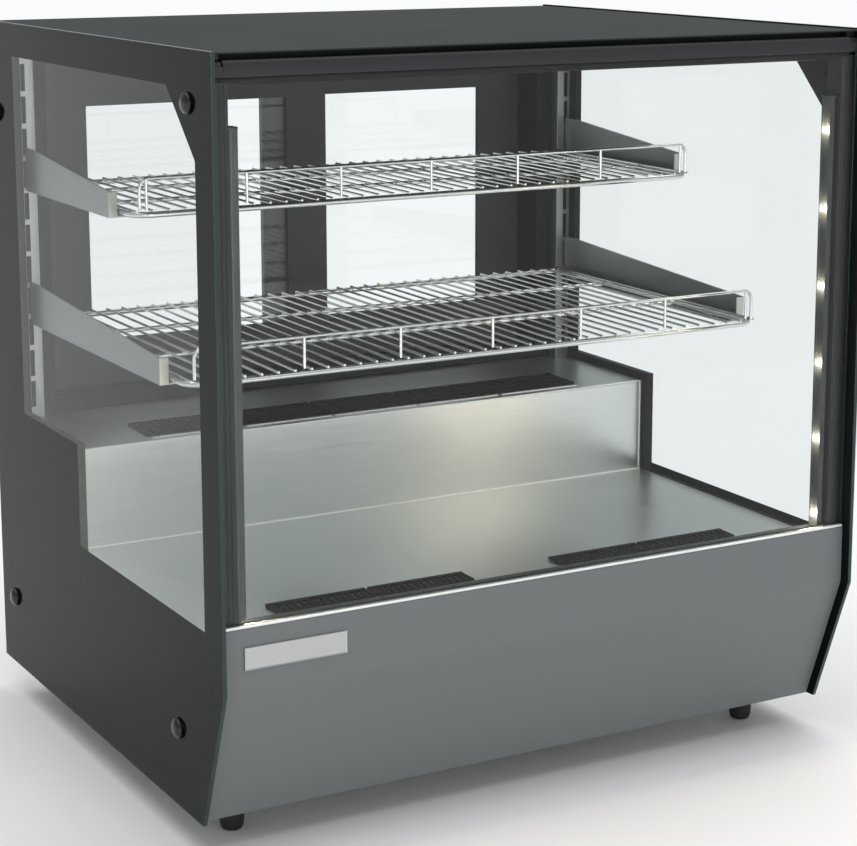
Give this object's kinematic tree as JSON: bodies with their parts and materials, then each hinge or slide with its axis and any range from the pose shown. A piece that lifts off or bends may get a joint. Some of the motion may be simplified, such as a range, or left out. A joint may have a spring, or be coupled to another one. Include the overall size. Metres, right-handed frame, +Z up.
{
  "type": "hot food display case",
  "caption": "Counter-top heated glass display cabinet with wire shelves, a stepped steel deck, a lift-up front glass and sliding rear doors.",
  "frame": {"origin": "middle of the footprint, on the counter that the feet stand on", "axes": "+X across the front to the viewer's right, +Y from the front glass to the rear doors, +Z up"},
  "size_m": [0.7122, 0.6, 0.734],
  "materials": {
    "pane_glass": "clear float glass",
    "black_frame": "satin black",
    "black_liner": "black foamed and hollow profiles",
    "dark_clamp": "satin dark grey",
    "roof_paint": "semi-gloss dark grey",
    "panel_paint": "fine texture grey",
    "back_paint": "satin dark grey",
    "door_profile": "dark anodised",
    "deck_steel": "fine rolled grain",
    "zinc_steel": "zinc plated, matt",
    "shelf_chrome": "bright plated wire",
    "black_plastic": "moulded, matt",
    "foot_rubber": "moulded",
    "lamp_cover": "smoked cover with warm lamps",
    "badge_metal": "brushed, blank",
    "heater_steel": "heat-tinted tube",
    "box_plastic": "moulded grey"
  },
  "bodies": {
    "case": {"badge_plate": "badge_metal", "base_pan": "zinc_steel", "bolt_bottom_front_left": "black_plastic", "bolt_bottom_front_right": "black_plastic", "bolt_bottom_rear_left": "black_plastic", "bolt_bottom_rear_right": "black_plastic", "bolt_top_front_left": "black_plastic", "bolt_top_front_right": "black_plastic", "bolt_top_rear_left": "black_plastic", "bolt_top_rear_right": "black_plastic", "cable_gland": "black_plastic", "ceiling_panel": "black_liner", "control_plate": "black_frame", "deck": "deck_steel", "deck_front_sill": "black_plastic", "door_frame": "black_liner", "fan_bracket": "zinc_steel", "fan_housing": "black_plastic", "front_grille_left": "black_plastic", "front_grille_right": "black_plastic", "front_panel": "panel_paint", "front_post_left": "black_frame", "front_post_right": "black_frame", "heater_element": "heater_steel", "hinge_block_left": "dark_clamp", "hinge_block_right": "dark_clamp", "led_bar_left": "lamp_cover", "led_bar_right": "lamp_cover", "lower_bracket_left": "zinc_steel", "lower_bracket_right": "zinc_steel", "rear_grille": "black_plastic", "rear_panel": "back_paint", "shelf_rail_left": "zinc_steel", "shelf_rail_right": "zinc_steel", "side_frame_left": "black_liner", "side_frame_right": "black_liner", "side_glass_left": "pane_glass", "side_glass_right": "pane_glass", "terminal_box": "box_plastic", "top_cover": "roof_paint", "upper_bracket_left": "zinc_steel", "upper_bracket_right": "zinc_steel"},
    "door_left": {"door_left_frame": "door_profile", "door_left_glass": "pane_glass"},
    "door_right": {"door_right_frame": "door_profile", "door_right_glass": "pane_glass"},
    "front_window": {"front_glass": "pane_glass", "front_glass_clamp": "dark_clamp"},
    "upper_shelf_set": {"upper_shelf": "shelf_chrome", "upper_shelf_fence": "shelf_chrome"},
    "lower_shelf_set": {"lower_shelf": "shelf_chrome", "lower_shelf_fence": "shelf_chrome"},
    "knob": {"thermostat_knob": "black_plastic"},
    "power_rocker": {"power_switch": "black_plastic"},
    "light_rocker": {"light_switch": "black_plastic"},
    "impeller": {"fan_impeller": "black_plastic"},
    "foot_fl": {"foot_front_left": "foot_rubber"},
    "foot_fr": {"foot_front_right": "foot_rubber"},
    "foot_rl": {"foot_rear_left": "foot_rubber"},
    "foot_rr": {"foot_rear_right": "foot_rubber"}
  },
  "joints": [
    {"name": "door_left_slide", "type": "slide", "parent": "case", "child": "door_left", "axis": [1, 0, 0], "range_m": [0, 0.262]},
    {"name": "door_right_slide", "type": "slide", "parent": "case", "child": "door_right", "axis": [-1, 0, 0], "range_m": [0, 0.262]},
    {"name": "front_glass_lift", "type": "hinge", "parent": "case", "child": "front_window", "pos_m": [0, -0.282, 0.719], "axis": [-1, 0, 0], "range_deg": [0, 75]},
    {"name": "upper_shelf_lift", "type": "slide", "parent": "case", "child": "upper_shelf_set", "axis": [0, 0, 1], "range_m": [0, 0.06]},
    {"name": "lower_shelf_lift", "type": "slide", "parent": "case", "child": "lower_shelf_set", "axis": [0, 0, 1], "range_m": [0, 0.06]},
    {"name": "thermostat_turn", "type": "hinge", "parent": "case", "child": "knob", "pos_m": [0.272, 0.275, 0.224], "axis": [0, 1, 0], "range_deg": [0, 270]},
    {"name": "power_switch_tip", "type": "hinge", "parent": "case", "child": "power_rocker", "pos_m": [0.205, 0.267, 0.224], "axis": [1, 0, 0], "range_deg": [0, 14]},
    {"name": "light_switch_tip", "type": "hinge", "parent": "case", "child": "light_rocker", "pos_m": [0.17, 0.267, 0.224], "axis": [1, 0, 0], "range_deg": [0, 14]},
    {"name": "fan_spin", "type": "hinge", "parent": "case", "child": "impeller", "pos_m": [0, 0.15, 0.172], "axis": [0, 0, 1], "continuous": true},
    {"name": "foot_front_left_turn", "type": "hinge", "parent": "case", "child": "foot_fl", "pos_m": [-0.296, -0.19, 0.02], "axis": [0, 0, 1], "continuous": true},
    {"name": "foot_front_right_turn", "type": "hinge", "parent": "case", "child": "foot_fr", "pos_m": [0.296, -0.19, 0.02], "axis": [0, 0, 1], "continuous": true},
    {"name": "foot_rear_left_turn", "type": "hinge", "parent": "case", "child": "foot_rl", "pos_m": [-0.296, 0.23, 0.02], "axis": [0, 0, 1], "continuous": true},
    {"name": "foot_rear_right_turn", "type": "hinge", "parent": "case", "child": "foot_rr", "pos_m": [0.296, 0.23, 0.02], "axis": [0, 0, 1], "continuous": true}
  ]
}
